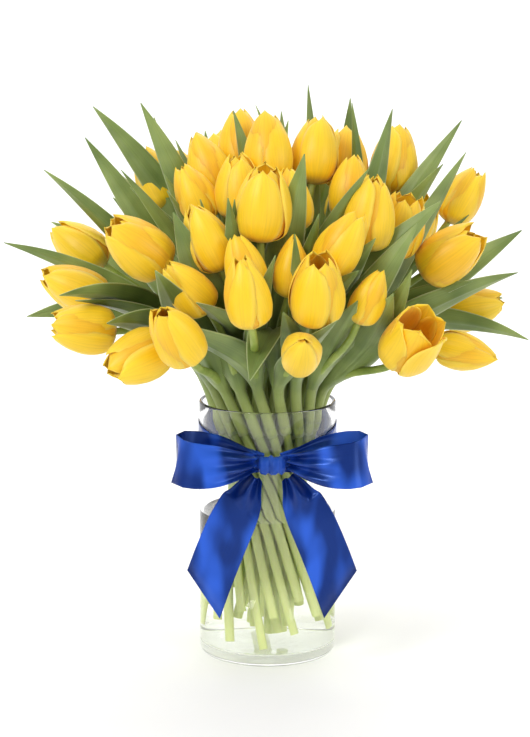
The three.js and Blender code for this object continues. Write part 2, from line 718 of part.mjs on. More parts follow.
const bouquet = new THREE.Group();
bouquet.add(toMesh('glass_vase', vase, finish.glass));
bouquet.add(toMesh('water', waterSolid(grownStems), finish.water));
bouquet.add(toMesh('ribbon_band', band, finish.ribbon));
bouquet.add(toMesh('ribbon_knot', knot, finish.ribbon));
bouquet.add(toMesh('ribbon_loop_left', loopSolid(-1), finish.ribbon));
bouquet.add(toMesh('ribbon_loop_right', loopSolid(1), finish.ribbon));
bouquet.add(toMesh('ribbon_tail_left', tailSolid(-1), finish.ribbon));
bouquet.add(toMesh('ribbon_tail_right', tailSolid(1), finish.ribbon));
plants.forEach((plant, t) => {
  bouquet.add(toMesh(`tulip_${String(t + 1).padStart(2, '0')}`, plant, finish.tulip));
});

export default bouquet;
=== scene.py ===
# A bunch of yellow tulips in a straight glass vase of water, tied with a royal blue satin bow.
# Metres, +Z up. The origin is the centre of the vase's underside and the bow faces -Y.
import math
import bmesh
import bpy
import numpy as np
from mathutils import Matrix, Vector


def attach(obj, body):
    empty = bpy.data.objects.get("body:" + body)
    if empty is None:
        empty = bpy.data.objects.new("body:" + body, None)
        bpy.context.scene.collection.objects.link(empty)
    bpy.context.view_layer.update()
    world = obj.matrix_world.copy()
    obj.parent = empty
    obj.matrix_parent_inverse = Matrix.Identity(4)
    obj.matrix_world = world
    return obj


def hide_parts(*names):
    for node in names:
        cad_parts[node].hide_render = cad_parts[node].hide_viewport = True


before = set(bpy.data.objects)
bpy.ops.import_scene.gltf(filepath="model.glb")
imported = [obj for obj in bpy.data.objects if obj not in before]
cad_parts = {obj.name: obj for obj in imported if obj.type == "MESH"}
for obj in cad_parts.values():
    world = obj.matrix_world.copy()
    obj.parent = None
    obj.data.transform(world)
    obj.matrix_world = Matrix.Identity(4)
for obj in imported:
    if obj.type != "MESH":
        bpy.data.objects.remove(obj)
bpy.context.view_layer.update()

mm = 0.001


def linear(code, alpha=1.0):
    # sRGB hex to the linear colour that shaders take
    parts = [int(code[i:i + 2], 16) / 255 for i in (1, 3, 5)]
    return tuple(c / 12.92 if c <= 0.04045 else ((c + 0.055) / 1.055) ** 2.4 for c in parts) + (alpha,)


def addNode(tree, kind, settings=None, links=None):
    # settings go to a property or an input's value, links join an input to another node's output
    node = tree.nodes.new(kind)
    for name, value in (settings or {}).items():
        if isinstance(name, str) and hasattr(node, name):
            setattr(node, name, value)
        else:
            node.inputs[name].default_value = value
    for name, socket in (links or {}).items():
        tree.links.new(socket, node.inputs[name])
    return node


# ---- the camera, the studio and its light

studio = {"lens": 122, "distance": 2.0, "elevation": 11, "aim": (-0.002, 0.0, 0.233),
          "floorShade": "#FBFBFB", "skyStrength": 0.68, "glassSky": 0.5, "bounces": 28}


def setStudio():
    scene = bpy.context.scene
    scene.view_settings.view_transform = "Standard"
    scene.cycles.max_bounces = studio["bounces"]  # glass, water and glass again take more than the usual 12
    scene.cycles.transmission_bounces = studio["bounces"]
    scene.cycles.transparent_max_bounces = studio["bounces"]
    lift = math.radians(studio["elevation"])
    aim = Vector(studio["aim"])
    away = Vector((0, -math.cos(lift), math.sin(lift)))
    camera = bpy.data.objects.new("camera", bpy.data.cameras.new("camera"))
    camera.data.lens = studio["lens"]
    camera.data.sensor_width = 36
    camera.location = aim + away * studio["distance"]
    camera.rotation_euler = (-away).to_track_quat("-Z", "Y").to_euler()
    scene.collection.objects.link(camera)
    scene.camera = camera

    world = bpy.data.worlds.new("soft white room")
    world.use_nodes = True
    world.node_tree.nodes["Background"].inputs["Color"].default_value = linear("#FFFFFF")
    # what shows through glass and water is as bright as the backdrop
    path = addNode(world.node_tree, "ShaderNodeLightPath")
    strength = addNode(world.node_tree, "ShaderNodeMath", {"operation": "MULTIPLY_ADD", 1: studio["glassSky"],
                                                           2: studio["skyStrength"]},
                       {0: path.outputs["Is Transmission Ray"]})
    world.node_tree.links.new(strength.outputs[0], world.node_tree.nodes["Background"].inputs["Strength"])
    scene.world = world

    # each soft box: name, where it hangs, its size and its power
    for name, place, size, power, target in (("key box", (-1.2, -1.5, 1.7), 0.8, 24, (0, 0, 0.28)),
                                             ("fill box", (1.6, -1.4, 0.9), 0.8, 9, (0, 0, 0.28)),
                                             ("back box", (0.3, 1.2, 1.9), 1.4, 10, (0, 0, 0.28)),
                                             ("backdrop box", (0, 0.6, 2.6), 2.5, 62, (0, 3.2, 1.6))):
        light = bpy.data.lights.new(name, "AREA")
        light.size = size
        light.energy = power
        box = bpy.data.objects.new(name, light)
        box.location = place
        box.rotation_euler = (Vector(target) - Vector(place)).to_track_quat("-Z", "Y").to_euler()
        scene.collection.objects.link(box)

    # a floor that curves up into the backdrop
    bend, reach, tall = 1.2, 2.2, 4.5
    line = [(-4.0, 0.0), (reach, 0.0)]
    line += [(reach + bend * math.sin(a), bend * (1 - math.cos(a))) for a in np.linspace(0, math.pi / 2, 13)[1:]]
    line += [(reach + bend, tall)]
    points = [(x, y, z) for y, z in line for x in (-6, 6)]
    faces = [(2 * i, 2 * i + 1, 2 * i + 3, 2 * i + 2) for i in range(len(line) - 1)]
    mesh = bpy.data.meshes.new("paper backdrop")
    mesh.from_pydata(points, [], faces)
    mesh.shade_smooth()
    floor = bpy.data.objects.new("paper backdrop", mesh)
    scene.collection.objects.link(floor)
    paper = bpy.data.materials.new("matt white paper")  # background roll, no gloss
    paper.use_nodes = True
    shader = paper.node_tree.nodes["Principled BSDF"]
    shader.inputs["Base Color"].default_value = linear(studio["floorShade"])
    shader.inputs["Roughness"].default_value = 0.9
    mesh.materials.append(paper)


setStudio()
print("studio set")

# ---- where everything grows: the same places as the solid model

vase = {"radius": 55 * mm, "height": 208 * mm, "wall": 3 * mm, "base": 9 * mm, "heel": 6 * mm, "rounds": 128}
water = {"level": 117 * mm, "meniscus": 1.2 * mm}
stem = {"radius": 3.5 * mm, "neck": 2.8 * mm, "play": 0.9 * mm, "sides": 14}
bunch = {"waist": 130 * mm, "fan": 150 * mm, "rings": [3, 9, 15, 21], "beadStep": 8 * mm, "leafBeads": 10,
         "rounds": 90, "push": 0.45, "soften": 0.35, "nearby": 80 * mm}
bloom = {"length": 52 * mm, "width": 39 * mm, "bud": 0.76, "thickness": 0.55 * mm, "glow": 0.6}
leafBlade = {"thickness": 0.6 * mm, "sheath": 45 * mm, "breadth": 1.15, "bow": 0.15, "divide": 60 * mm}
ribbon = {"width": 37.5 * mm, "thickness": 0.35 * mm, "standOff": 0.5 * mm}

# bloom azimuth, lean and reach from the fan point, its facing azimuth and lean, size, how far open,
# then each leaf's tip azimuth, lean and reach, blade width and arch; degrees and millimetres
tulipRows = [
    [175, 40, 235, 170, 55, 1.0, 0.3, [[180, 36, 300, 20, 5]]],
    [-135, 35, 240, -155, 50, 1.12, 0.45, [[-145, 50, 230, 18, 0]]],
    [-165, 45, 220, -175, 65, 1.05, 0.35, [[-175, 48, 280, 16, 10]]],
    [-145, 50, 220, -160, 80, 1.0, 0.45, [[-140, 51, 260, 24, 20]]],
    [-125, 55, 205, -145, 105, 1.0, 0.55, [[-130, 52, 235, 30, 15], [-127, 56, 185, 22, 25]]],
    [-115, 50, 220, -130, 40, 1.05, 0.3, [[-117, 44, 260, 33, 10]]],
    [-115, 40, 220, -160, 40, 0.95, 0.25, [[-120, 32, 265, 32, 15]]],
    [170, 25, 225, 160, 30, 0.9, 0.3, [[-175, 28, 305, 22, 0]]],
    [175, 20, 250, 150, 30, 1.0, 0.3, [[165, 29, 280, 18, 25]]],
    [-135, 20, 245, 170, 25, 0.95, 0.2, [[-152, 27, 280, 14, 0], [-142, 22, 265, 18, 20]]],
    [-110, 30, 235, -170, 25, 1.05, 0.2, [[-118, 25, 255, 18, 0], [-99, 27, 260, 16, 0]]],
    [160, 17, 245, 115, 20, 0.9, 0.4, [[-170, 25, 325, 28, 5]]],
    [-140, 15, 255, 155, 25, 1.05, 0.3, [[-163, 19, 315, 26, 0], [-134, 25, 260, 18, 0]]],
    [145, 12, 250, 110, 20, 0.9, 0.45, [[168, 19, 290, 16, 0]]],
    [-155, 5, 265, 105, 15, 1.05, 0.35, [[165, 16, 275, 14, -10]]],
    [-100, 17, 250, 125, 5, 1.0, 0.4, [[-159, 26, 260, 16, 0]]],
    [-90, 26, 245, -65, 5, 1.12, 0.5, [[-76, 23, 290, 30, -5]]],
    [-85, 30, 220, 10, 5, 0.9, 0.15, [[-72, 29, 255, 18, 0], [-64, 40, 240, 24, 0]]],
    [-95, 42, 230, -130, 12, 1.05, 0.2, [[-88, 39, 255, 17, 0], [-118, 50, 225, 30, 0]]],
    [-100, 33, 223, -175, 16, 0.9, 0.2, [[-103, 29, 270, 22, 0], [-108, 46, 235, 28, 0]]],
    [-77, 41, 226, -75, 15, 1.08, 0.5, [[-82, 34, 255, 16, 0], [-86, 46, 225, 20, 0]]],
    [-80, 51, 208, -85, 60, 1.0, 0.1, [[-95, 56, 185, 32, 70], [-73, 49, 230, 22, -5]]],
    [-58, 43, 219, -12, 24, 0.85, 0.05, [[-66, 45, 230, 22, 0], [-44, 36, 265, 26, 10]]],
    [-50, 52, 210, -65, 48, 1.1, 0.95, [[-56, 45, 235, 28, 0], [-49, 42, 245, 20, 0]]],
    [-25, 57, 201, -18, 100, 0.95, 0.1, [[-12, 50, 260, 24, 10]]],
    [5, 52, 210, -8, 76, 1.0, 0.4, [[0, 46, 280, 26, 5], [-6, 62, 235, 20, 20]]],
    [-20, 38, 236, -17, 51, 1.08, 0.5, [[-21, 46, 235, 20, 10], [7, 32, 300, 18, 0]]],
    [10, 31, 240, 0, 24, 1.0, 0.65, [[7, 29, 320, 20, 0]]],
    [10, 34, 264, 18, 32, 0.95, 0.3, [[-8, 29, 285, 22, 30], [7, 37, 260, 12, 0]]],
    [-45, 27, 245, 7, 8, 1.12, 0.3, [[-17, 19, 310, 24, 5]]],
    [-25, 30, 234, -16, 16, 1.0, 0.6, [[-17, 13, 305, 15, 0]]],
    [15, 24, 259, 54, 14, 1.05, 0.5, [[17, 13, 305, 20, 5]]],
    [-65, 33, 238, -11, 28, 1.0, 0.25, [[-56, 35, 250, 26, 5], [-31, 34, 275, 26, 0]]],
    [-10, 13, 259, 76, 16, 0.95, 0.4, [[99, 12, 295, 12, 0]]],
    [-37, 15, 248, 56, 7, 0.95, 0.3, [[-74, 6, 275, 12, 0]]],
    [-70, 10, 260, 98, 14, 1.05, 0.45, [[-130, 8, 295, 24, 0]]],
    [-50, 11, 261, 65, 12, 1.05, 0.4, [[-45, 3, 290, 18, 40]]],
    [-80, 18, 241, 130, 8, 0.95, 0.25, [[-50, 25, 280, 18, 0]]],
    [20, 19, 254, 62, 21, 0.9, 0.4, [[32, 7, 310, 14, 0]]],
    [35, 55, 220, 30, 70, 1.0, 0.3, [[25, 60, 250, 24, 10], [45, 45, 270, 26, 5]]],
    [65, 57, 210, 70, 85, 1.05, 0.4, [[65, 62, 240, 28, 15]]],
    [90, 48, 220, 85, 55, 1.0, 0.3, [[85, 58, 235, 24, 5], [100, 45, 270, 28, 5]]],
    [118, 57, 210, 120, 80, 1.1, 0.45, [[122, 64, 245, 26, 15]]],
    [147, 53, 215, 150, 65, 0.95, 0.2, [[150, 48, 280, 24, 5], [160, 62, 240, 24, 15]]],
    [55, 30, 240, 50, 35, 1.0, 0.35, [[60, 25, 290, 24, 0]]],
    [85, 27, 245, 95, 25, 1.05, 0.3, [[80, 20, 290, 22, 0], [90, 40, 265, 20, 5]]],
    [112, 33, 238, 115, 40, 0.95, 0.5, [[115, 25, 290, 24, 0], [110, 50, 255, 24, 5]]],
    [140, 30, 240, 140, 30, 1.0, 0.25, [[145, 22, 300, 20, 0], [135, 42, 275, 22, 5]]],
]

inner = vase["radius"] - vase["wall"]
gate = vase["height"] + 6 * mm  # the stems clear the rim here


def unit(v):
    return v / max(np.linalg.norm(v), 1e-12)


def across(v, axis):
    return unit(v - axis * np.dot(v, axis))


def turned(v, axis, angle):
    return v * math.cos(angle) + np.cross(axis, v) * math.sin(angle) + axis * np.dot(axis, v) * (1 - math.cos(angle))


def direction(azimuth, lean):
    a, l = math.radians(azimuth), math.radians(lean)
    return np.array([math.sin(l) * math.cos(a), math.sin(l) * math.sin(a), math.cos(l)])


def ringRadius(k, where):
    if where == "waist":
        return (2 * stem["radius"] + stem["play"]) * (k + 0.577)
    if where == "gate":
        return (inner - stem["radius"] - 2 * mm) * (k + 0.65) / (len(bunch["rings"]) - 0.35)
    return (inner - stem["radius"] - 1.5 * mm) * (k + 0.9) / (len(bunch["rings"]) - 0.1)


def winding(k):
    return 1 if k % 2 == 0 else -1


def girth(t):
    # half a bloom's width, slimmer while it is closed
    return bloom["width"] / 2 * t["size"] * (bloom["bud"] + (1 - bloom["bud"]) * min(1, 2 * t["open"]))


def ringPoint(k, waistAngle, z):
    # each ring of straight stems is a hyperboloid, narrowest at the tie
    waist = ringRadius(k, "waist")
    above = z > bunch["waist"]
    reach = math.sqrt(ringRadius(k, "gate" if above else "foot") ** 2 - waist ** 2)
    share = (z - bunch["waist"]) / ((gate if above else 0) - bunch["waist"] if above else bunch["waist"] - vase["base"])
    t = reach * share
    r, a = math.hypot(waist, t), waistAngle + winding(k) * math.atan2(t, waist)
    return np.array([r * math.cos(a), r * math.sin(a), z])


def fillRings(tulips):
    order = sorted(tulips, key=lambda t: (-t["lean"], t["index"]))
    for k in range(len(bunch["rings"]) - 1, -1, -1):
        ring = sorted(order[:bunch["rings"][k]], key=lambda t: (t["azimuth"], t["index"]))
        order = order[bunch["rings"][k]:]
        step = 2 * math.pi / bunch["rings"][k]
        lag = math.acos(ringRadius(k, "waist") / ringRadius(k, "gate"))
        x = sum(math.cos(math.radians(t["azimuth"]) - slot * step) for slot, t in enumerate(ring))
        y = sum(math.sin(math.radians(t["azimuth"]) - slot * step) for slot, t in enumerate(ring))
        for slot, t in enumerate(ring):
            t.update(ring=k, slot=slot, waistAngle=math.atan2(y, x) + slot * step - winding(k) * lag)


def footHeight(t):
    lift = [6, 12, 14, 5][t["ring"]] * mm
    spread = [10, 45, 50, 34][t["ring"]] * mm
    return vase["base"] + lift + spread * ((t["slot"] * 7) % 11) / 10


def hermite(p, q, pWay, qWay, t):
    length = np.linalg.norm(q - p)
    return ((2 * t ** 3 - 3 * t ** 2 + 1) * p + (t ** 3 - 2 * t ** 2 + t) * length * 0.9 * pWay
            + (3 * t ** 2 - 2 * t ** 3) * q + (t ** 3 - t ** 2) * length * 0.7 * qWay)


def chainOf(tulip, points, radii, free, heads):
    return {"tulip": tulip, "at": np.array(points), "radius": np.array(radii), "free": np.array(free), "heads": heads}


def coreChain(t):
    start = ringPoint(t["ring"], t["waistAngle"], gate)
    rise = unit(start - ringPoint(t["ring"], t["waistAngle"], gate - 10 * mm))
    count = max(5, int(np.linalg.norm(t["base"] - start) / bunch["beadStep"] + 0.5))
    points = [hermite(start, t["base"], rise, t["axis"], i / count) for i in range(count + 1)]
    radii = [stem["radius"] + 0.3 * mm] * (count + 1)
    free = [min(1, i / 4) for i in range(count + 1)]
    for along, share in ((0.22, 0.9), (0.5, 1), (0.8, 0.75)):
        points.append(t["base"] + t["axis"] * bloom["length"] * t["size"] * along)
        radii.append(girth(t) * share + 0.3 * mm)
        free.append(1)
    return chainOf(t["index"], points, radii, free, 3)


def leafSide(tip):
    # leaves bow out to the front, and those behind to the back
    return -1 if tip[1] < leafBlade["divide"] else 1


def leafChain(t, core, leaf, i):
    azimuth, lean, reach, width, arch = leaf
    rooted = 2 + i
    root = core["at"][rooted]
    up = unit(core["at"][rooted + 1] - root)
    tip = direction(azimuth, lean) * reach * mm + np.array([0, 0, bunch["fan"]])
    long = np.linalg.norm(tip - root)
    bend = root + up * long * 0.42 + np.array([0, leafSide(tip) * long * leafBlade["bow"], arch * mm])
    shares = [i / bunch["leafBeads"] for i in range(bunch["leafBeads"] + 1)]
    points = [(1 - s) ** 2 * root + 2 * s * (1 - s) * bend + s * s * tip for s in shares]
    free = [min(1, i / 3) for i in range(len(shares))]
    chain = chainOf(t["index"], points, [2 * mm] * len(shares), free, 0)
    chain.update(rooted=rooted, width=width * leafBlade["breadth"] * mm)
    return chain


def settle(chains):
    # every stem, bloom and leaf is a chain of beads, and beads of different chains push each other apart
    starts = np.cumsum([0] + [len(c["at"]) for c in chains])
    at = np.concatenate([c["at"] for c in chains])
    rest = at.copy()
    radius = np.concatenate([c["radius"] for c in chains])
    free = np.concatenate([c["free"] for c in chains])[:, None]
    owner = np.concatenate([[n] * len(c["at"]) for n, c in enumerate(chains)])
    plant = np.concatenate([[c["tulip"]] * len(c["at"]) for c in chains])
    head = np.concatenate([[False] * (len(c["at"]) - c["heads"]) + [True] * c["heads"] for c in chains])
    i, j = np.triu_indices(len(at), 1)
    near = np.linalg.norm(at[i] - at[j], axis=1) < radius[i] + radius[j] + bunch["nearby"]
    i, j = i[near], j[near]
    meet = (owner[i] != owner[j]) & ((plant[i] != plant[j]) | head[i] | head[j])
    i, j = i[meet], j[meet]
    need = radius[i] + radius[j]
    for _ in range(bunch["rounds"]):
        gap = at[i] - at[j]
        size = np.linalg.norm(gap, axis=1)
        hit = size < need
        push = gap[hit] * (0.5 * (need[hit] - size[hit]) / np.maximum(size[hit], 0.5 * mm))[:, None]
        move = np.zeros_like(at)
        np.add.at(move, i[hit], push)
        np.add.at(move, j[hit], -push)
        at += bunch["push"] * free * move
        for n, chain in enumerate(chains):
            a, b = starts[n], starts[n + 1]
            shift = at[a:b] - rest[a:b]
            mean = (shift[:-2] + shift[2:]) / 2
            at[a + 1:b - 1] += bunch["soften"] * free[a + 1:b - 1] * (mean - shift[1:-1])
            if chain["heads"]:
                at[b - 4:b] = rest[b - 4:b] + (at[b - 3:b] - rest[b - 3:b]).mean(axis=0)
        lowest = vase["height"] + radius + 2 * mm
        low = (np.hypot(at[:, 0], at[:, 1]) > inner - radius) & (at[:, 2] < lowest)
        at[low, 2] = lowest[low]
    for n, chain in enumerate(chains):
        chain["at"] = at[starts[n]:starts[n + 1]]


tulips = []
for index, (azimuth, lean, reach, faceAzimuth, faceLean, size, opened, leaves) in enumerate(tulipRows):
    axis = direction(faceAzimuth, faceLean)
    middle = direction(azimuth, lean) * reach * mm + np.array([0, 0, bunch["fan"]])
    tulips.append({"index": index, "azimuth": azimuth, "lean": lean, "axis": axis, "size": size, "open": opened,
                   "base": middle - axis * 0.5 * bloom["length"] * size, "leaves": leaves})
fillRings(tulips)
cores = [coreChain(t) for t in tulips]
blades = []
for n, t in enumerate(tulips):
    for i, leaf in enumerate(t["leaves"]):
        blade = leafChain(t, cores[n], leaf, i)
        blade["twist"] = math.radians(((n + 3 * i) % 5 - 2) * 14)
        blades.append(blade)
settle(cores + blades)
for blade in blades:
    blade["at"][0] = cores[blade["tulip"]]["at"][blade["rooted"]]
print("stems, blooms and leaves placed:", len(cores), "and", len(blades))

# ---- meshes from grids


def smoothLine(points, count):
    # a Catmull-Rom curve through the points, evenly spaced
    p = np.array(points)
    p = np.vstack([2 * p[0] - p[1], p, 2 * p[-1] - p[-2]])
    fine = []
    for k in range(1, len(p) - 2):
        for t in np.linspace(0, 1, 12, endpoint=False):
            fine.append(0.5 * (2 * p[k] + (p[k + 1] - p[k - 1]) * t
                               + (2 * p[k - 1] - 5 * p[k] + 4 * p[k + 1] - p[k + 2]) * t ** 2
                               + (3 * p[k] - p[k - 1] - 3 * p[k + 1] + p[k + 2]) * t ** 3))
    fine = np.array(fine + [p[-2]])
    run = np.concatenate([[0], np.cumsum(np.linalg.norm(np.diff(fine, axis=0), axis=1))])
    want = np.linspace(0, run[-1], count)
    return np.stack([np.interp(want, run, fine[:, c]) for c in range(fine.shape[1])], axis=1)


def ways(points):
    # the direction of a line at each of its points
    return np.array([unit(points[min(k + 1, len(points) - 1)] - points[max(k - 1, 0)]) for k in range(len(points))])


def eased(x, knots, values):
    # through the values with a soft curve between knots
    x = np.clip(x, knots[0], knots[-1])
    fine = np.linspace(knots[0], knots[-1], 200)
    line = np.interp(fine, knots, values)
    for _ in range(3):
        line = np.convolve(np.pad(line, 6, mode="reflect", reflect_type="odd"), np.ones(13) / 13, mode="valid")
    return np.interp(x, fine, line)


def gridMesh(name, grids, material, closed=False):
    # each grid is rows by columns of points; UV runs across the columns and along the rows
    points, faces, uvs = [], [], []
    for grid in grids:
        rows, columns = grid.shape[:2]
        first = len(points)
        points.extend(grid.reshape(-1, 3).tolist())
        wrap = columns if closed else columns - 1
        for r in range(rows - 1):
            for c in range(wrap):
                d = (c + 1) % columns
                faces.append((first + r * columns + c, first + r * columns + d,
                              first + (r + 1) * columns + d, first + (r + 1) * columns + c))
                u0, u1 = c / wrap, (c + 1) / wrap
                v0, v1 = r / (rows - 1), (r + 1) / (rows - 1)
                uvs.extend([u0, v0, u1, v0, u1, v1, u0, v1])
    mesh = bpy.data.meshes.new(name)
    mesh.from_pydata(points, [], faces)
    mesh.uv_layers.new(name="UVMap").data.foreach_set("uv", uvs)
    mesh.materials.append(material)
    mesh.shade_smooth()
    return mesh


def place(name, mesh, thickness=None):
    piece = bpy.data.objects.new(name, mesh)
    bpy.context.scene.collection.objects.link(piece)
    if thickness:
        wall = piece.modifiers.new("thickness", "SOLIDIFY")
        wall.thickness = thickness
        wall.offset = 0
        wall.use_even_offset = False
    return piece


def madeMesh(piece, name):
    # the evaluated result as a plain mesh, and the object that made it is removed
    view = bpy.context.evaluated_depsgraph_get()
    mesh = bpy.data.meshes.new_from_object(piece.evaluated_get(view), preserve_all_data_layers=True, depsgraph=view)
    mesh.name = name
    bpy.data.objects.remove(piece)
    return mesh


def newTree(name, inputs):
    tree = bpy.data.node_groups.new(name, "GeometryNodeTree")
    tree.interface.new_socket("Geometry", in_out="INPUT", socket_type="NodeSocketGeometry")
    for label, kind, value in inputs:
        socket = tree.interface.new_socket(label, in_out="INPUT", socket_type=kind)
        if value is not None:
            socket.default_value = value
    tree.interface.new_socket("Geometry", in_out="OUTPUT", socket_type="NodeSocketGeometry")
    return tree, addNode(tree, "NodeGroupInput").outputs


def runTree(piece, tree, values):
    modifier = piece.modifiers.new(tree.name, "NODES")
    modifier.node_group = tree
    for item in tree.interface.items_tree:
        if item.in_out == "INPUT" and item.name in values:
            modifier[item.identifier] = values[item.name]


# ---- materials


def newMaterial(name):
    material = bpy.data.materials.new(name)
    material.use_nodes = True
    return material, material.node_tree, material.node_tree.nodes["Principled BSDF"]


def ranged(tree, value, low, high, start=0.0, end=1.0, kind="LINEAR"):
    # values from low to high become start to end
    settings = {"interpolation_type": kind, "From Min": low, "From Max": high, "To Min": start, "To Max": end}
    return addNode(tree, "ShaderNodeMapRange", settings, {"Value": value}).outputs[0]


def mixed(tree, factor, first, second, kind="MIX"):
    # first where the factor is 0, second where it is 1; each is a hex colour or a node's output
    node = addNode(tree, "ShaderNodeMix", {"data_type": "RGBA", "blend_type": kind})
    for slot, value in (("Factor", factor), (6, first), (7, second)):
        if isinstance(value, bpy.types.NodeSocket):
            tree.links.new(value, node.inputs[slot])
        else:
            node.inputs[slot].default_value = linear(value) if isinstance(value, str) else value
    return node.outputs[2]


def noise(tree, where, scale, detail, stretch=None):
    # cloudy values, drawn out along one axis where stretch is given
    if stretch:
        where = addNode(tree, "ShaderNodeMapping", {"Scale": stretch}, {"Vector": where}).outputs[0]
    return addNode(tree, "ShaderNodeTexNoise", {"Scale": scale, "Detail": detail}, {"Vector": where}).outputs[0]


def uvParts(tree):
    # the whole UV, its share across and its share along
    uv = addNode(tree, "ShaderNodeUVMap", {"uv_map": "UVMap"}).outputs["UV"]
    split = addNode(tree, "ShaderNodeSeparateXYZ", links={0: uv})
    return uv, split.outputs["X"], split.outputs["Y"]


def veined(tree, colour, veins, shades, wide, rim, edge):
    # lengthwise veins darken and lighten the colour, and the margins are paler
    lined = mixed(tree, 1.0, colour, ranged(tree, veins, 0.3, 0.7, *shades), "MULTIPLY")
    side = addNode(tree, "ShaderNodeMath", {"operation": "SUBTRACT", 1: 0.5}, {0: wide}).outputs[0]
    size = addNode(tree, "ShaderNodeMath", {"operation": "ABSOLUTE"}, {0: side}).outputs[0]
    return mixed(tree, ranged(tree, size, rim[0], 0.5, 0.0, rim[1]), lined, edge)


def dress(tree, shader, colour, height, relief, settings):
    # colour, fine relief as its strength and depth, and the shader's other inputs
    bump = addNode(tree, "ShaderNodeBump", {"Strength": relief[0], "Distance": relief[1]}, {"Height": height})
    tree.links.new(colour, shader.inputs["Base Color"])
    tree.links.new(bump.outputs[0], shader.inputs["Normal"])
    for name, value in settings.items():
        shader.inputs[name].default_value = value


def letThrough(tree, shader, share, tint):
    # a share of the rays passes straight through, tinted
    passing = addNode(tree, "ShaderNodeBsdfTransparent", {"Color": linear(tint)})
    mix = addNode(tree, "ShaderNodeMixShader", links={0: share, 1: shader.outputs[0], 2: passing.outputs[0]})
    tree.links.new(mix.outputs[0], tree.nodes["Material Output"].inputs["Surface"])


def petalMaterial(name, base, middle, tip, edge):
    # fresh petal tissue: satin-soft, thin enough to glow, with fine lengthwise veins
    material, tree, shader = newMaterial(name)
    uv, wide, along = uvParts(tree)
    ramp = addNode(tree, "ShaderNodeValToRGB", links={0: along})
    ramp.color_ramp.elements[0].color = linear(base)
    ramp.color_ramp.elements[1].color = linear(tip)
    ramp.color_ramp.elements.new(0.16).color = linear(middle)
    ramp.color_ramp.elements.new(0.7).color = linear(middle)
    # veins about 0.7 mm apart on a petal 35 mm wide, drawn a little coarser to show
    veins = noise(tree, uv, 1.0, 3.0, (30, 1.6, 1))
    colour = veined(tree, ramp.outputs[0], veins, (0.9, 1.06), wide, (0.36, 0.55), edge)
    dress(tree, shader, colour, veins, (0.35, 0.25 * mm), {
        "Roughness": 0.46, "Subsurface Weight": 0.25, "Subsurface Radius": (1.0, 0.8, 0.15),
        "Subsurface Scale": 3 * mm, "Sheen Weight": 0.12})
    # a thin petal lets part of the light through, so that the cup glows inside
    path = addNode(tree, "ShaderNodeLightPath")
    share = addNode(tree, "ShaderNodeMath", {"operation": "MULTIPLY", 1: bloom["glow"]},
                    {0: path.outputs["Is Shadow Ray"]})
    letThrough(tree, shader, share.outputs[0], "#FFE08A")
    return material


def leafMaterial():
    # a tulip leaf: waxy grey-green with parallel veins, paler along its margins
    material, tree, shader = newMaterial("waxy tulip leaf")
    uv, wide, along = uvParts(tree)
    patches = noise(tree, addNode(tree, "ShaderNodeTexCoord").outputs["Object"], 22.0, 2.0)
    body = mixed(tree, ranged(tree, patches, 0.35, 0.65), "#5A712E", "#8B9D54")
    # veins about 1 mm apart on a blade 25 mm wide
    veins = noise(tree, uv, 1.0, 2.0, (26, 1.2, 1))
    edged = veined(tree, body, veins, (0.86, 1.1), wide, (0.45, 0.6), "#C8D29A")
    # the sheath at the foot of the blade is pale yellow-green
    colour = mixed(tree, ranged(tree, along, 0.3, 0.02, 0.0, 0.85), edged, "#B0BF66")
    dress(tree, shader, colour, veins, (0.5, 0.3 * mm), {
        "Roughness": 0.42, "Subsurface Weight": 0.12, "Subsurface Radius": (0.5, 1.0, 0.2),
        "Subsurface Scale": 1.5 * mm, "Sheen Weight": 0.15})
    return material


def plainPlantMaterial(name, dark, light, foot, scale, roughness, depth):
    # smooth plant tissue with soft mottling, paler where it stands low in the vase: partly real blanching, partly
    # painted light for the brighter look of the stems in the water
    material, tree, shader = newMaterial(name)
    where = addNode(tree, "ShaderNodeTexCoord").outputs["Object"]
    patches = noise(tree, where, scale, 4.0)
    body = mixed(tree, ranged(tree, patches, 0.35, 0.65), dark, light)
    height = addNode(tree, "ShaderNodeSeparateXYZ", links={0: where}).outputs["Z"]
    # partly painted light: from below the rim down to the water line the colour turns to the paler foot colour
    low = ranged(tree, height, vase["height"] - 20 * mm, water["level"] - 10 * mm)
    dress(tree, shader, mixed(tree, low, body, foot), patches, (0.4, depth), {
        "Roughness": roughness, "Subsurface Weight": 0.15, "Subsurface Radius": (0.6, 1.0, 0.2),
        "Subsurface Scale": 2 * mm})
    return material


def satinMaterial():
    # polyester satin: long floats lie across the ribbon and give a bright, stretched gloss
    material, tree, shader = newMaterial("royal blue satin")
    # threads 0.25 mm apart are too fine to show, so they are drawn about 0.5 mm apart
    threads = noise(tree, uvParts(tree)[0], 1.0, 2.0, (75, 6, 1))
    body = mixed(tree, ranged(tree, threads, 0.3, 0.7), "#032064", "#04236E")
    # painted highlight: brighter blue patches about 25 mm wide, from noise in object space, are mixed into the base
    # colour to stand in for the gleam of the floats
    spot = addNode(tree, "ShaderNodeTexCoord").outputs["Object"]
    roll = addNode(tree, "ShaderNodeMapping", {"Location": (0.3, 0.6, 0.2), "Scale": (42, 30, 17)}, {"Vector": spot})
    patches = addNode(tree, "ShaderNodeTexNoise", {"Scale": 1.0, "Detail": 1.5, "Roughness": 0.4},
                      {"Vector": roll.outputs[0]})
    paintedHighlight = ranged(tree, patches.outputs[0], 0.46, 0.66, kind="SMOOTHSTEP")
    # painted highlight: the base colour turns to the brighter blue #2B5CD0 inside the patches
    dress(tree, shader, mixed(tree, paintedHighlight, body, "#2B5CD0"), threads, (0.05, 0.05 * mm), {
        "Roughness": 0.27, "Specular IOR Level": 1.0, "Specular Tint": linear("#7FA6FF"), "Anisotropic": 0.55})
    weave = addNode(tree, "ShaderNodeTangent", {"direction_type": "UV_MAP", "uv_map": "UVMap"})
    tree.links.new(weave.outputs[0], shader.inputs["Tangent"])
    return material


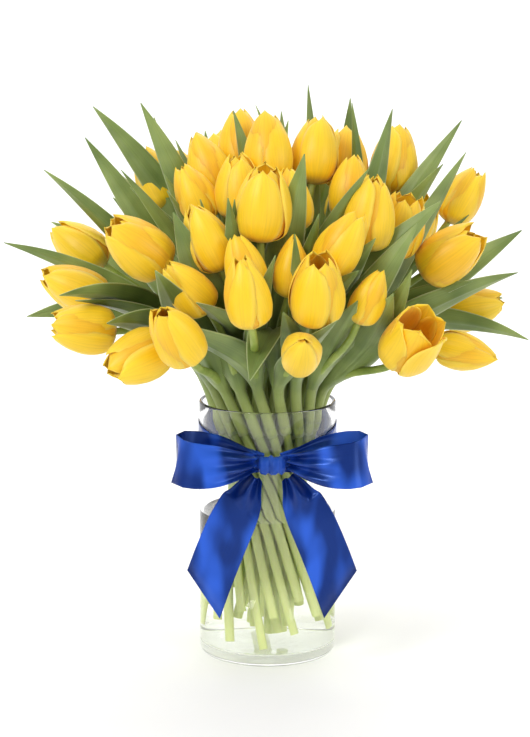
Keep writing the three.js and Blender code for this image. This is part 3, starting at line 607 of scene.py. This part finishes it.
def clearMaterial(name, tint, ior):
    # clear and polished; shadow and diffuse rays pass, so that what stands inside is lit
    material, tree, shader = newMaterial(name)
    for label, value in {"Base Color": linear(tint), "Roughness": 0.0, "IOR": ior, "Transmission Weight": 1.0}.items():
        shader.inputs[label].default_value = value
    path = addNode(tree, "ShaderNodeLightPath")
    passing = addNode(tree, "ShaderNodeMath", {"operation": "MAXIMUM"},
                      {0: path.outputs["Is Shadow Ray"], 1: path.outputs["Is Diffuse Ray"]})
    letThrough(tree, shader, passing.outputs[0], tint)
    return material


outerPetal = petalMaterial("yellow petal, outside whorl", "#CDB43A", "#FACA14", "#FCD22E", "#FDDE5C")
# painted shade: the inside whorl is a darker, deeper orange copy of the petal material, standing in for the shade
# inside the cup
shadedInnerPetal = petalMaterial("yellow petal, inside whorl, painted shade", "#D89A14", "#F5BA0E", "#F9CA24", "#FCD64C")
leafSkin = leafMaterial()
# the stem's pale foot colour is partly painted light for the stems in the water
stemSkin = plainPlantMaterial("smooth tulip stem", "#80963C", "#A3B358", "#D6DF8C", 60, 0.42, 0.1 * mm)
pollenSkin = plainPlantMaterial("stamens and pistil", "#B98A1C", "#E3C24A", "#E3C24A", 400, 0.8, 0.2 * mm)
satin = satinMaterial()
clearGlass = clearMaterial("clear soda glass", "#FFFFFF", 1.5)
clearWater = clearMaterial("clear water", "#FCFEFA", 1.33)
print("materials ready")

# ---- blooms: six petals in two whorls

petal = {"count": 3, "rows": 22, "columns": 13,
         "knots": [0, 0.07, 0.18, 0.38, 0.56, 0.74, 0.88, 0.95, 1],
         "shut": [0.16, 0.58, 0.88, 1.0, 0.96, 0.76, 0.46, 0.26, 0.08],
         "wide": [0.16, 0.6, 0.92, 1.05, 1.06, 1.02, 0.96, 0.94, 0.92],
         "widthKnots": [0, 0.1, 0.25, 0.45, 0.62, 0.78, 0.9, 0.96, 1],
         "width": [0.28, 0.56, 0.88, 1.06, 1.04, 0.88, 0.62, 0.38, 0.05]}


def petalGrid(t, whorl, rng):
    # one petal standing at +X of the bloom's own axis, base at the origin
    shown = t["open"] * (0.7 + 0.3 * t["open"])  # the lips of a half open bloom lean in over one another
    opened = shown * (1.1 if whorl == 0 else 0.7 + 0.3 * t["open"]) + rng.uniform(-0.05, 0.05)
    opened = min(1, max(0, opened))
    length = bloom["length"] * t["size"] * (0.97 if whorl == 0 else 1.0)
    half = girth(t)
    v = np.linspace(0, 1, petal["rows"])
    shut = eased(v, petal["knots"], petal["shut"])
    wide = eased(v, petal["knots"], petal["wide"])
    radius = half * (shut + (wide - shut) * opened) * (1 if whorl == 0 else 0.9)
    radius[0] = half * 0.14
    height = length * v ** 1.18
    width = eased(v, petal["widthKnots"], petal["width"]) * half * (1.0 if whorl == 0 else 0.96)
    width = np.minimum(width, radius * 1.2)
    width[-1] = 0.5 * mm
    lean = rng.uniform(-0.05, 0.05)
    wave = rng.uniform(0, 2 * math.pi)
    grid = np.zeros((petal["rows"], petal["columns"], 3))
    for c, u in enumerate(np.linspace(-1, 1, petal["columns"])):
        bowl = np.maximum(radius * (0.86 if whorl == 0 else 0.92), 1.5 * mm)
        angle = u * width / bowl + lean * v ** 2
        out = radius - bowl + bowl * np.cos(angle)
        side = bowl * np.sin(angle)
        # the margins roll out a little near the tip and the midrib stands as a soft ridge
        out = out + half * 0.09 * abs(u) ** 3 * v ** 2 * opened
        out = out + 0.7 * mm * math.exp(-(u / 0.16) ** 2) * np.sin(math.pi * v) * (1 if whorl == 0 else 0.4)
        out = out + 0.5 * mm * np.sin(7 * v + 5 * u + wave) * abs(u)
        grid[:, c, 0] = out
        grid[:, c, 1] = side
        grid[:, c, 2] = height - length * 0.05 * abs(u) ** 2 * v
    return grid


def finished(tree, real, given):
    # the last nodes of a tree: its material and its output
    skin = addNode(tree, "GeometryNodeSetMaterial", links={"Geometry": real.outputs[0], "Material": given["Material"]})
    addNode(tree, "NodeGroupOutput", links={0: skin.outputs[0]})
    return tree


def whorlTree():
    # copies of one part round an axis, each a little different
    tree, given = newTree("whorl", [("Count", "NodeSocketInt", 3), ("Turn", "NodeSocketFloat", 0.0),
                                    ("Wobble", "NodeSocketFloat", 0.04), ("Seed", "NodeSocketInt", 0),
                                    ("Material", "NodeSocketMaterial", None)])
    points = addNode(tree, "GeometryNodePoints", links={"Count": given["Count"]})
    index = addNode(tree, "GeometryNodeInputIndex")
    step = addNode(tree, "ShaderNodeMath", {"operation": "DIVIDE", 0: 2 * math.pi}, {1: given["Count"]})
    turn = addNode(tree, "ShaderNodeMath", {"operation": "MULTIPLY_ADD"},
                   {0: index.outputs[0], 1: step.outputs[0], 2: given["Turn"]})
    tilt = addNode(tree, "FunctionNodeRandomValue", {"data_type": "FLOAT_VECTOR", 0: (-0.6, -1, -1), 1: (0.6, 1, 1)},
                   {"Seed": given["Seed"]})
    sway = addNode(tree, "ShaderNodeVectorMath", {"operation": "SCALE"},
                   {0: tilt.outputs[0], "Scale": given["Wobble"]})
    base = addNode(tree, "ShaderNodeCombineXYZ", links={"Z": turn.outputs[0]})
    euler = addNode(tree, "ShaderNodeVectorMath", {"operation": "ADD"}, {0: sway.outputs[0], 1: base.outputs[0]})
    grow = addNode(tree, "FunctionNodeRandomValue", {"data_type": "FLOAT", 2: 0.94, 3: 1.04}, {"Seed": given["Seed"]})
    copies = addNode(tree, "GeometryNodeInstanceOnPoints",
                     links={"Points": points.outputs[0], "Instance": given["Geometry"],
                            "Rotation": euler.outputs[0], "Scale": grow.outputs[1]})
    real = addNode(tree, "GeometryNodeRealizeInstances", links={0: copies.outputs[0]})
    return finished(tree, real, given)


def stemTree():
    # a tapering round stem along a curve, with closed ends
    tree, given = newTree("stem along a curve", [
        ("Radius", "NodeSocketFloat", 0.0035), ("Neck", "NodeSocketFloat", 0.8), ("Sides", "NodeSocketInt", 12),
        ("Material", "NodeSocketMaterial", None)])
    soft = addNode(tree, "GeometryNodeCurveSplineType", {"spline_type": "CATMULL_ROM"}, {"Curve": given["Geometry"]})
    even = addNode(tree, "GeometryNodeResampleCurve", {"mode": "LENGTH", "Length": 5 * mm}, {"Curve": soft.outputs[0]})
    along = addNode(tree, "GeometryNodeSplineParameter")
    taper = addNode(tree, "ShaderNodeMapRange", {"From Min": 0.4, "From Max": 1.0, "To Min": 1.0},
                    {"Value": along.outputs["Factor"], "To Max": given["Neck"]})
    sized = addNode(tree, "GeometryNodeSetCurveRadius", links={"Curve": even.outputs[0], "Radius": taper.outputs[0]})
    circle = addNode(tree, "GeometryNodeCurvePrimitiveCircle",
                     links={"Resolution": given["Sides"], "Radius": given["Radius"]})
    tube = addNode(tree, "GeometryNodeCurveToMesh", {"Fill Caps": True},
                   {"Curve": sized.outputs[0], "Profile Curve": circle.outputs[0]})
    if "Scale" in tube.inputs:
        tree.links.new(taper.outputs[0], tube.inputs["Scale"])
    smooth = addNode(tree, "GeometryNodeSetShadeSmooth", links={0: tube.outputs[0]})
    real = addNode(tree, "GeometryNodeRealizeInstances", links={0: smooth.outputs[0]})
    return finished(tree, real, given)


whorl = whorlTree()
stalk = stemTree()


def roundGrid(radius, out, height, columns):
    # rings of the given radii, each at its own place out from the axis and its own height
    grid = np.zeros((len(radius), columns, 3))
    for c in range(columns):
        angle = 2 * math.pi * c / columns
        grid[:, c, 0] = out + radius * math.cos(angle)
        grid[:, c, 1] = radius * math.sin(angle)
        grid[:, c, 2] = height
    return grid


def stamenGrid():
    # a short filament with a plump anther, a little way out from the axis
    v = np.linspace(0, 1, 12)
    radius = np.where(v < 0.5, 0.7, 1.3) * mm * np.sin(np.pi * np.clip(v, 0.06, 0.97)) ** 0.3
    return roundGrid(radius, 4 * mm + 3 * mm * v, 3 * mm + 17 * mm * v, 8)


def pistilGrid():
    # a stout ovary under a wider stigma
    v = np.linspace(0, 1, 12)
    radius = eased(v, [0, 0.3, 0.8, 0.9, 1], [2.2, 2.6, 2.0, 3.0, 0.4]) * mm
    return roundGrid(radius, 0, 2 * mm + 18 * mm * v, 12)


def standOn(mesh, t, base):
    turn = Vector((0, 0, 1)).rotation_difference(Vector(t["axis"])).to_matrix().to_4x4()
    mesh.transform(Matrix.Translation(Vector(base)) @ turn)


def growBloom(t, core, name):
    rng = np.random.default_rng(40 + t["index"])
    turn = rng.uniform(0, 2 * math.pi)
    pieces = []
    for level, skin in enumerate((outerPetal, shadedInnerPetal)):
        one = place(name + "Petal", gridMesh(name + "Petal", [petalGrid(t, level, rng)], skin), bloom["thickness"])
        runTree(one, whorl, {"Count": petal["count"], "Turn": turn + level * math.pi / petal["count"],
                             "Wobble": 0.035 + 0.05 * t["open"], "Seed": t["index"] * 2 + level, "Material": skin})
        pieces.append(madeMesh(one, name))
    if t["open"] >= 0.5:
        stamen = place(name + "Stamen", gridMesh(name + "Stamen", [stamenGrid()], pollenSkin, closed=True))
        runTree(stamen, whorl, {"Count": 6, "Turn": turn, "Wobble": 0.12, "Seed": t["index"], "Material": pollenSkin})
        pieces.append(madeMesh(stamen, name))
        pieces.append(gridMesh(name + "Pistil", [pistilGrid()], pollenSkin, closed=True))
    joined = joinMeshes(name, pieces)
    standOn(joined, t, core["at"][-4])
    return place(name, joined)


def joinMeshes(name, pieces):
    # several meshes as one, each with its own material slot
    holders = [place(name + "Part", mesh) for mesh in pieces]
    with bpy.context.temp_override(active_object=holders[0], object=holders[0], selected_objects=holders,
                                   selected_editable_objects=holders):
        bpy.ops.object.join()
    mesh = holders[0].data
    mesh.name = name
    bpy.data.objects.remove(holders[0])
    return mesh


# ---- stems


def stemPoints(t, core):
    foot = footHeight(t)
    heights = [foot, foot + (bunch["waist"] - foot) / 2, bunch["waist"], (bunch["waist"] + gate) / 2]
    points = [ringPoint(t["ring"], t["waistAngle"], z) for z in heights]
    chain = core["at"][:-3]
    return np.vstack([points, chain[::2] if len(chain) % 2 else np.vstack([chain[::2], chain[-1:]]),
                      [chain[-1] + t["axis"] * 2 * mm]])


def growStem(t, core, name):
    points = stemPoints(t, core)
    data = bpy.data.curves.new(name, "CURVE")
    data.dimensions = "3D"
    spline = data.splines.new("POLY")
    spline.points.add(len(points) - 1)
    spline.points.foreach_set("co", np.hstack([points, np.ones((len(points), 1))]).ravel())
    line = place(name + "Line", data)
    plump = 1 + 0.08 * math.sin(5.3 * t["index"])
    runTree(line, stalk, {"Radius": stem["radius"] * plump, "Neck": stem["neck"] / stem["radius"],
                          "Sides": stem["sides"], "Material": stemSkin})
    return place(name, madeMesh(line, name))


# ---- leaves


def bladeGrid(t, blade, points):
    # the blade's foot wraps the stem, then it opens into a shallow gutter and ends in a point
    run = np.concatenate([[0], np.cumsum(np.linalg.norm(np.diff(points, axis=0), axis=1))])
    chain = blade["at"]
    rootRun = run[int(np.argmin(np.linalg.norm(points - chain[0], axis=1)))]
    below = [rootRun - leafBlade["sheath"] * s for s in (1, 0.75, 0.5, 0.25)]
    sheath = [[np.interp(r, run, points[:, c]) for c in range(3)] for r in below]
    line = smoothLine(np.vstack([sheath, chain]), 46)
    along = ways(line)
    total = np.concatenate([[0], np.cumsum(np.linalg.norm(np.diff(line, axis=0), axis=1))])
    free = (total - leafBlade["sheath"]) / (total[-1] - leafBlade["sheath"])  # 0 at the root, 1 at the tip
    root = int(np.argmin(abs(free)))
    facing = np.zeros_like(line)
    facing[root] = across(np.array([0, -leafSide(chain[-1]), 0]), along[root])
    for k in range(root + 1, len(line)):
        facing[k] = across(facing[k - 1], along[k])
    for k in range(root - 1, -1, -1):
        facing[k] = across(facing[k + 1], along[k])
    width = blade["width"] * eased(free, [0, 0.1, 0.22, 0.4, 0.6, 0.8, 0.92, 1],
                                   [0.5, 0.68, 0.86, 1, 0.92, 0.6, 0.28, 0.02])
    wrap = 3.6 * (stem["radius"] + 0.6 * mm)
    hold = np.clip(1 - free / 0.2, 0, 1)
    width = np.where(free < 0, wrap, width + (wrap - width) * hold ** 2 * (width < wrap))
    curl = np.radians(eased(free, [-0.4, 0, 0.1, 0.3, 0.7, 1], [205, 205, 150, 75, 50, 60]))
    phase = blade["twist"] * 9 + t["index"]
    rows = []
    for k in range(len(line)):
        s = max(free[k], 0)
        face = turned(facing[k], along[k], blade["twist"] * s)
        side = np.cross(along[k], face)
        spine = line[k] - face * (stem["radius"] + 0.5 * mm) * np.clip(1 - free[k] / 0.3, 0, 1)
        bend = width[k] / curl[k]
        row = []
        for u in np.linspace(-1, 1, 11):
            angle = u * curl[k] / 2
            ripple = 1.6 * mm * u * abs(u) * math.sin(9 * s + phase + u) * min(1, 3 * s) * (1 - s)
            crease = 0.09 * width[k] * (1 - math.exp(-5 * abs(u))) * min(1, 4 * s)
            row.append(spine + side * bend * math.sin(angle) + face * (bend * (1 - math.cos(angle)) + crease + ripple))
        rows.append(row)
    return np.array(rows)


def growLeaves(t, core, own, name):
    points = smoothLine(stemPoints(t, core), 90)
    grids = [bladeGrid(t, blade, points) for blade in own]
    return place(name, gridMesh(name, grids, leafSkin), leafBlade["thickness"])


for t, core in zip(tulips, cores):
    label = "%02d" % (t["index"] + 1)
    node = "tulip_" + label
    own = [blade for blade in blades if blade["tulip"] == t["index"]]
    pieces = [growBloom(t, core, "bloom" + label), growStem(t, core, "stem" + label)]
    if own:
        pieces.append(growLeaves(t, core, own, "leaves" + label))
    for piece in pieces:
        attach(piece, "root")
        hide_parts(node)
print("tulips grown")

# ---- the vase and its water


def lathePiece(name, profile, material):
    angles = np.linspace(0, 2 * math.pi, vase["rounds"], endpoint=False)
    grid = np.array([[(r * math.cos(a), r * math.sin(a), z) for a in angles] for r, z in profile])
    return place(name, closeEnds(gridMesh(name, [grid], material, closed=True)))


def vaseProfile():
    radius, height, wall, heel = vase["radius"], vase["height"], vase["wall"], vase["heel"]
    line = [(0.02 * mm, 0), (radius * 0.5, 0), (radius - heel - 2 * mm, 0)]
    line += [(radius - heel + heel * math.sin(a), heel - heel * math.cos(a)) for a in np.linspace(0, math.pi / 2, 9)]
    line += [(radius, z) for z in np.linspace(20 * mm, height - 10 * mm, 6)]
    lip = wall / 2
    line += [(radius - lip + lip * math.cos(a), height - lip + lip * math.sin(a)) for a in np.linspace(0, math.pi, 11)]
    line += [(inner, z) for z in np.linspace(height - 10 * mm, vase["base"] + 8 * mm, 6)]
    line += [(inner - 4 * mm * (1 - math.cos(a)), vase["base"] + 4 * mm * (1 - math.sin(a)))
             for a in np.linspace(0.2, math.pi / 2, 6)]
    return line + [(radius * 0.4, vase["base"]), (0.02 * mm, vase["base"])]


def closeEnds(mesh):
    # merges the tiny rings on the axis so that the skin is closed
    work = bmesh.new()
    work.from_mesh(mesh)
    bmesh.ops.remove_doubles(work, verts=work.verts, dist=0.03 * mm)
    bmesh.ops.recalc_face_normals(work, faces=work.faces)
    work.to_mesh(mesh)
    work.free()
    return mesh


glass = lathePiece("vaseGlass", vaseProfile(), clearGlass)
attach(glass, "root")
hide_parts("glass_vase")


def waterProfile():
    # the water's side runs just inside the glass, so that no air lies between them
    side, level, floor = inner + 0.15 * mm, water["level"], vase["base"] - 0.1 * mm
    line = [(0.02 * mm, floor), (side - 4.2 * mm, floor)]
    line += [(side - 4 * mm * (1 - math.cos(a)), floor + 4 * mm * (1 - math.sin(a)))
             for a in np.linspace(math.pi / 2 - 0.2, 0.2, 5)]
    line += [(side, floor + 10 * mm), (side, level + water["meniscus"])]
    line += [(side - 4 * mm * s, level + water["meniscus"] * (1 - s) ** 2) for s in (0.15, 0.4, 0.7, 1)]
    return line + [(side * 0.5, level), (0.02 * mm, level)]


pool = lathePiece("vaseWater", waterProfile(), clearWater)
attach(pool, "root")
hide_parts("water")
print("vase and water made")

# ---- the ribbon

knot = {"x": 3.5 * mm, "z": vase["height"] - 40 * mm, "width": 22 * mm, "height": 14.5 * mm, "depth": 12 * mm}
knotY = -(vase["radius"] + 0.35 * mm + 0.8 * mm + 0.35 * mm + knot["depth"] / 2)


def gather(span, t, folds, phase):
    # how far cloth of full width stands off when it is drawn in to a narrower span
    slack = max(0.0, ribbon["width"] / span - 1.08)
    depth = span / (2 * math.pi * folds) * math.sqrt(3.2 * slack)
    return depth * math.sin(2 * math.pi * folds * t + phase)


def stripGrid(line, edges, faces, folds, columns=33, lift=0.0):
    # line runs along the strip, edges are half its drawn-in width, faces its outward side
    grid = np.zeros((len(line), columns, 3))
    for k, (point, edge, face) in enumerate(zip(line, edges, faces)):
        span = 2 * np.linalg.norm(edge)
        for c, t in enumerate(np.linspace(-0.5, 0.5, columns)):
            stand = gather(span, t, folds, 0.9 + 0.8 * k / len(line))
            if lift:
                stand = abs(stand) * lift
            grid[k, c] = point + edge * 2 * t + face * stand
    return grid


# outline of a loop from above, as shares of its reach and depth, with the strip's height at each
loopPath = {"reach": 70 * mm, "depth": 26 * mm,
            "points": [[0.17, 0.12, 0.36], [0.34, 0.62, 0.62], [0.55, 0.9, 0.88], [0.74, 1.0, 0.98],
                       [0.86, 0.96, 1.0], [0.95, 0.82, 1.0], [0.99, 0.65, 1.0], [1.0, 0.48, 1.0], [0.985, 0.3, 1.0],
                       [0.94, 0.14, 1.0], [0.85, 0.02, 1.0], [0.74, -0.03, 0.98], [0.55, -0.08, 0.88],
                       [0.34, -0.1, 0.6], [0.17, -0.12, 0.34]]}


def loopPiece(side, name, node):
    rows = [[knot["x"] + side * out * (loopPath["reach"] + 5 * mm), knotY + 2 * mm - front * loopPath["depth"],
             knot["z"] + 1 * mm + (10 - 5 * front) * mm * out, tall * 0.95] for out, front, tall in loopPath["points"]]
    path = smoothLine(rows, 120)
    line, tall = path[:, :3], np.clip(path[:, 3], 0.34, 1.0)
    along = ways(line)
    tilt = np.array([-side * 0.12, 0.22, 1])
    edges = [across(tilt, way) * ribbon["width"] / 2 * h for way, h in zip(along, tall)]
    faces = [unit(np.cross(way, edge)) for way, edge in zip(along, edges)]
    piece = place(name, gridMesh(name, [stripGrid(line, edges, faces, 2.5)], satin), ribbon["thickness"])
    finishRibbon(piece, node)
    return piece


tailPath = {"length": 108 * mm, "spread": 52 * mm,
            "points": [[0.0, 0.2, 0.28, 0], [0.1, 0.31, 0.58, 2], [0.25, 0.44, 0.9, 4], [0.5, 0.66, 1, 6],
                       [0.75, 0.84, 1, 4], [1, 1, 1, 1]]}


def tailPiece(side, name, node):
    drop = math.sqrt(tailPath["length"] ** 2 - tailPath["spread"] ** 2)
    top = knot["z"] - knot["height"] / 2 - 2.35 * mm
    rows = [[knot["x"] + side * (2 * mm + out * tailPath["spread"]), knotY - swell * mm, top - down * drop, wide]
            for down, out, wide, swell in tailPath["points"]]
    path = smoothLine(rows, 44)
    line, wide = path[:, :3], np.clip(path[:, 3], 0.28, 1.0)
    along = ways(line)
    share = np.linspace(0, 1, len(line))
    # the end is cut on a slant with its inner corner lower, and the slant fades out upwards
    slant = np.clip((share - 0.55) / 0.45, 0, 1) ** 1.5 * 0.82
    edges = [(across(np.array([side, 0, 0]), way) - way * cut) * ribbon["width"] / 2 * w
             for way, w, cut in zip(along, wide, slant)]
    faces = [np.array([0, -1, 0])] * len(line)
    grid = stripGrid(line, edges, faces, 1.5)
    # the cloth hangs in a soft roll
    for c, t in enumerate(np.linspace(-0.5, 0.5, grid.shape[1])):
        grid[:, c, 1] -= 2.5 * mm * np.sin(math.pi * share) * math.cos(math.pi * t) + 1.2 * mm * share * t * side
    piece = place(name, gridMesh(name, [grid], satin), ribbon["thickness"])
    finishRibbon(piece, node)
    return piece


def bandPiece():
    radius = vase["radius"] + ribbon["standOff"]
    ends = 0.5 * (knot["width"] / radius) * 0.55
    turns = np.linspace(ends, 2 * math.pi - ends, 140)
    away = np.sin(turns / 2) ** 0.7
    half = knot["height"] * 0.35 + (ribbon["width"] / 2 - knot["height"] * 0.35) * np.minimum(1, away * 1.25)
    faces = [np.array([math.cos(a), math.sin(a), 0]) for a in turns - math.pi / 2 + knot["x"] / radius]
    line = np.array([face * radius + np.array([0, 0, knot["z"] + 6 * mm * s]) for face, s in zip(faces, away)])
    edges = [np.array([0, 0, h]) for h in half]
    grid = stripGrid(line, edges, faces, 2.5, columns=25, lift=0.6)
    piece = place("ribbonBand", gridMesh("ribbonBand", [grid], satin), ribbon["thickness"])
    finishRibbon(piece, "ribbon_band")
    return piece


def makeKnot():
    # the strip wrapped once round the crossing, its width crumpled into pleats that run over the top
    rows, columns = 40, 40
    grid = np.zeros((rows, columns, 3))
    for r, x in enumerate(np.linspace(-1, 1, rows)):
        for c in range(columns):
            angle = 2 * math.pi * c / columns
            pleat = 1 + 0.09 * math.cos(9 * x + 0.8 * math.sin(angle)) + 0.05 * math.cos(17 * x + 1.3)
            swell = (1 - 0.3 * abs(x) ** 5) * pleat * (1 if abs(x) < 0.999 else 0.02)
            grid[r, c] = (knot["x"] + x * knot["width"] / 2 * 0.98, knotY + knot["depth"] / 2 * swell * math.cos(angle),
                          knot["z"] + knot["height"] / 2 * swell * math.sin(angle))
    piece = place("ribbonKnot", closeEnds(gridMesh("ribbonKnot", [grid], satin, closed=True)))
    finishRibbon(piece, "ribbon_knot")
    return piece


def finishRibbon(piece, node):
    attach(piece, "root")
    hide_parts(node)


knotPiece = makeKnot()
bandPiece()
loopPiece(-1, "ribbonLoopLeft", "ribbon_loop_left")
loopPiece(1, "ribbonLoopRight", "ribbon_loop_right")
tailPiece(-1, "ribbonTailLeft", "ribbon_tail_left")
tailPiece(1, "ribbonTailRight", "ribbon_tail_right")
print("bow tied")
